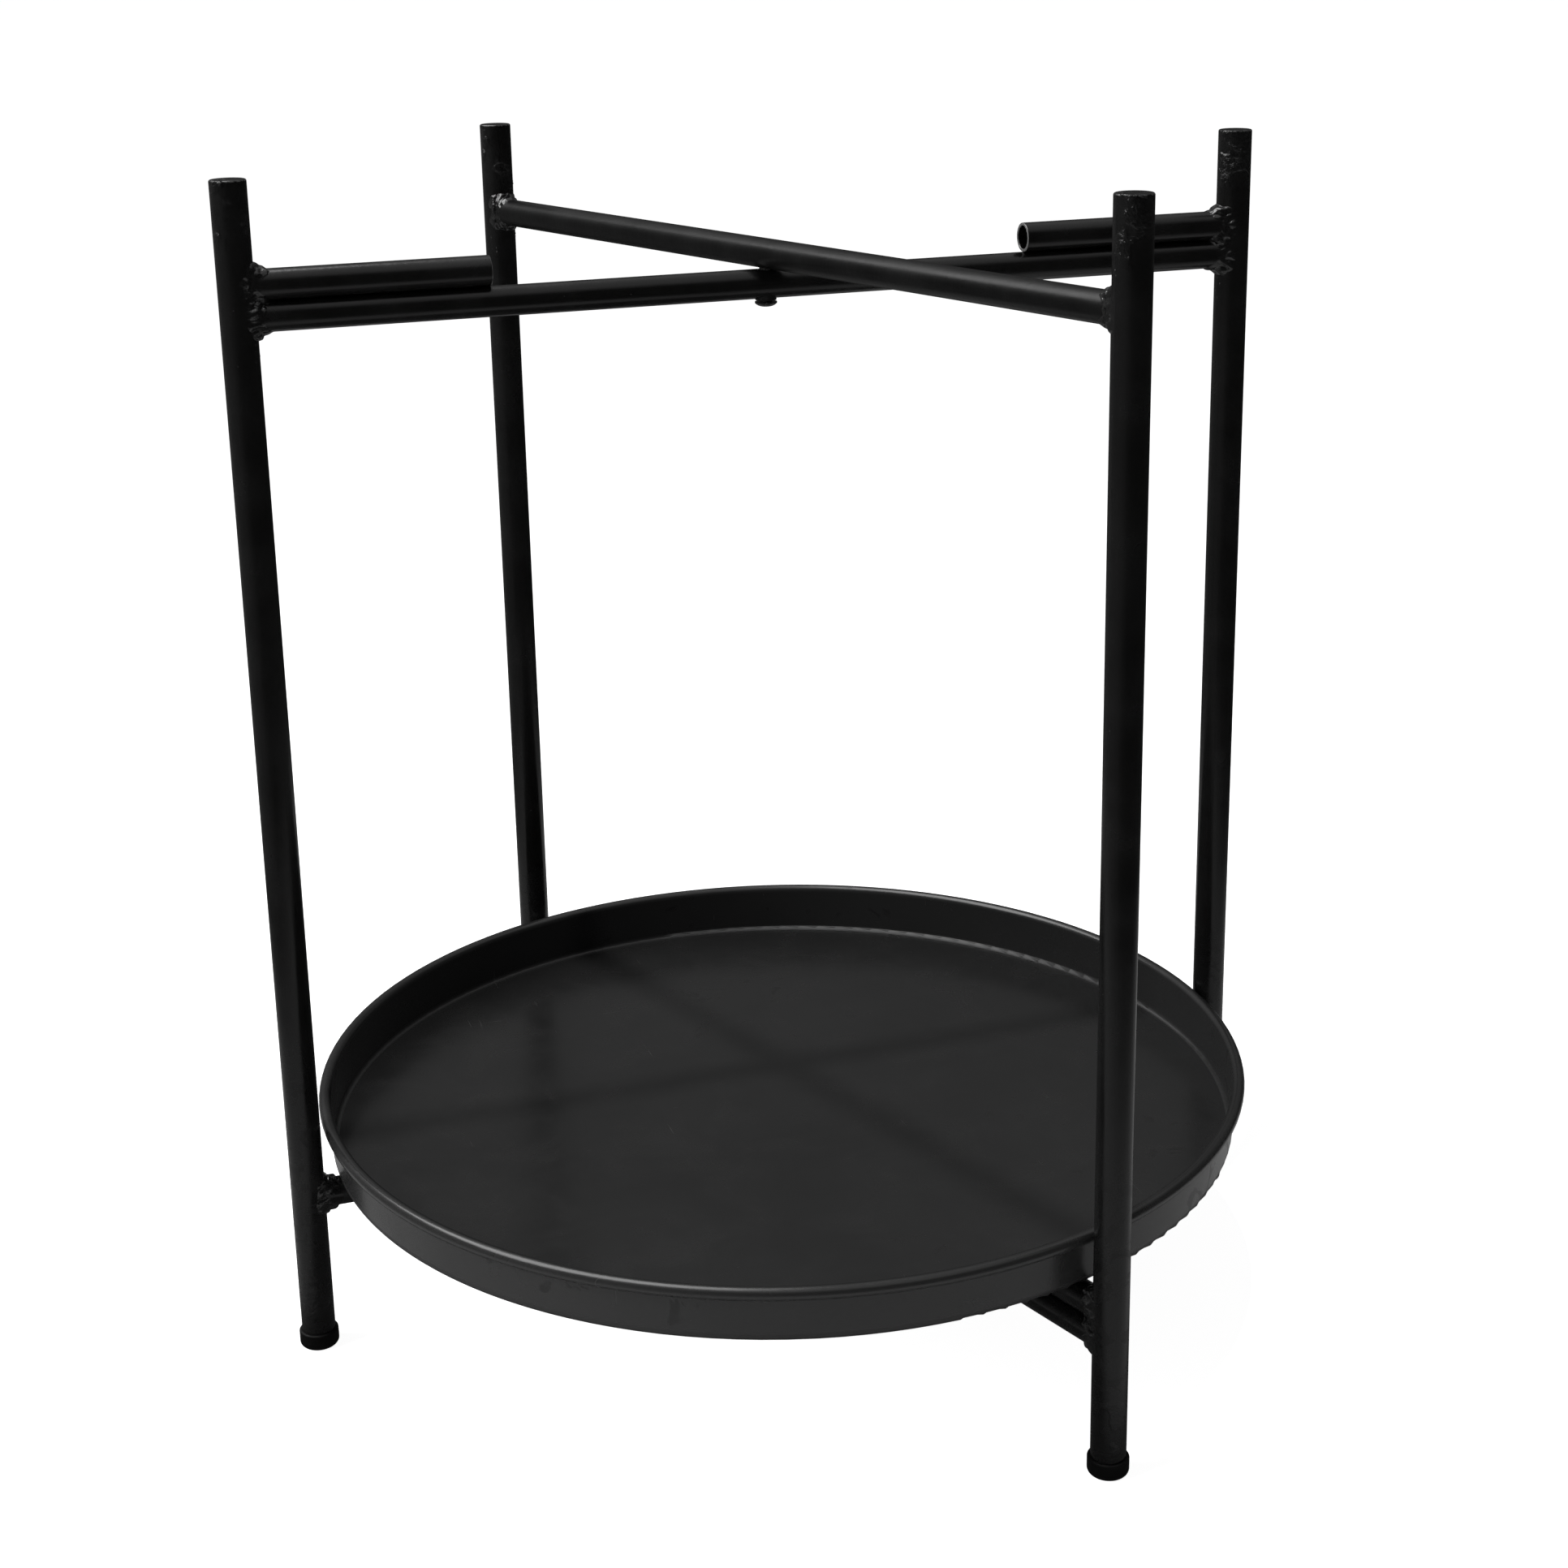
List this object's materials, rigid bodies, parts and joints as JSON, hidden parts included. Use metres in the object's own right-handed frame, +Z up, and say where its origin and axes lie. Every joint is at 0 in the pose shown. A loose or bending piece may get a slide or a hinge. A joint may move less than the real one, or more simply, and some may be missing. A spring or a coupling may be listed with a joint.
{
  "type": "folding side table",
  "caption": "Folding side table: crossed tube frames turn on a vertical pivot axis and hold a loose round tray with a curled rim.",
  "frame": {"origin": "on the floor, on the vertical pivot axis, midway between the four feet", "axes": "+Z up, frame A along X, frame B turned about Z; the front-left leg is at -X"},
  "size_m": [0.4344, 0.414, 0.489],
  "materials": {
    "frame_paint": "semi-gloss black paint over welded steel tube",
    "tray_paint": "satin black paint on pressed steel sheet",
    "foot_plastic": "moulded soft black plastic",
    "fastener_steel": "blackened steel",
    "washer_plastic": "black nylon"
  },
  "bodies": {
    "frame_a": {"frame_a_top_bar": "frame_paint", "frame_a_bottom_bar": "frame_paint", "leg_front_left": "frame_paint", "leg_cap_front_left": "frame_paint", "foot_cap_front_left": "foot_plastic", "leg_back_right": "frame_paint", "leg_cap_back_right": "frame_paint", "foot_cap_back_right": "foot_plastic", "stub_front_left": "frame_paint", "stub_back_right": "frame_paint", "top_pivot_washer": "washer_plastic", "bottom_pivot_screw": "fastener_steel", "bottom_pivot_nut": "fastener_steel"},
    "frame_b": {"frame_b_top_bar": "frame_paint", "frame_b_bottom_bar": "frame_paint", "leg_back_left": "frame_paint", "leg_cap_back_left": "frame_paint", "foot_cap_back_left": "foot_plastic", "leg_front_right": "frame_paint", "leg_cap_front_right": "frame_paint", "foot_cap_front_right": "foot_plastic", "stub_back_left": "frame_paint", "stub_front_right": "frame_paint", "bottom_pivot_washer": "washer_plastic", "top_pivot_screw": "fastener_steel", "top_pivot_nut": "fastener_steel"},
    "tray": {"tray": "tray_paint"}
  },
  "joints": [
    {"name": "fold", "type": "hinge", "parent": "frame_a", "child": "frame_b", "pos_m": [0, 0, 0.2472], "axis": [0, 0, 1], "range_deg": [-101, 65]},
    {"name": "tray_lift", "type": "slide", "parent": "frame_a", "child": "tray", "axis": [0, 0, 1], "range_m": [0, 0.33]}
  ]
}
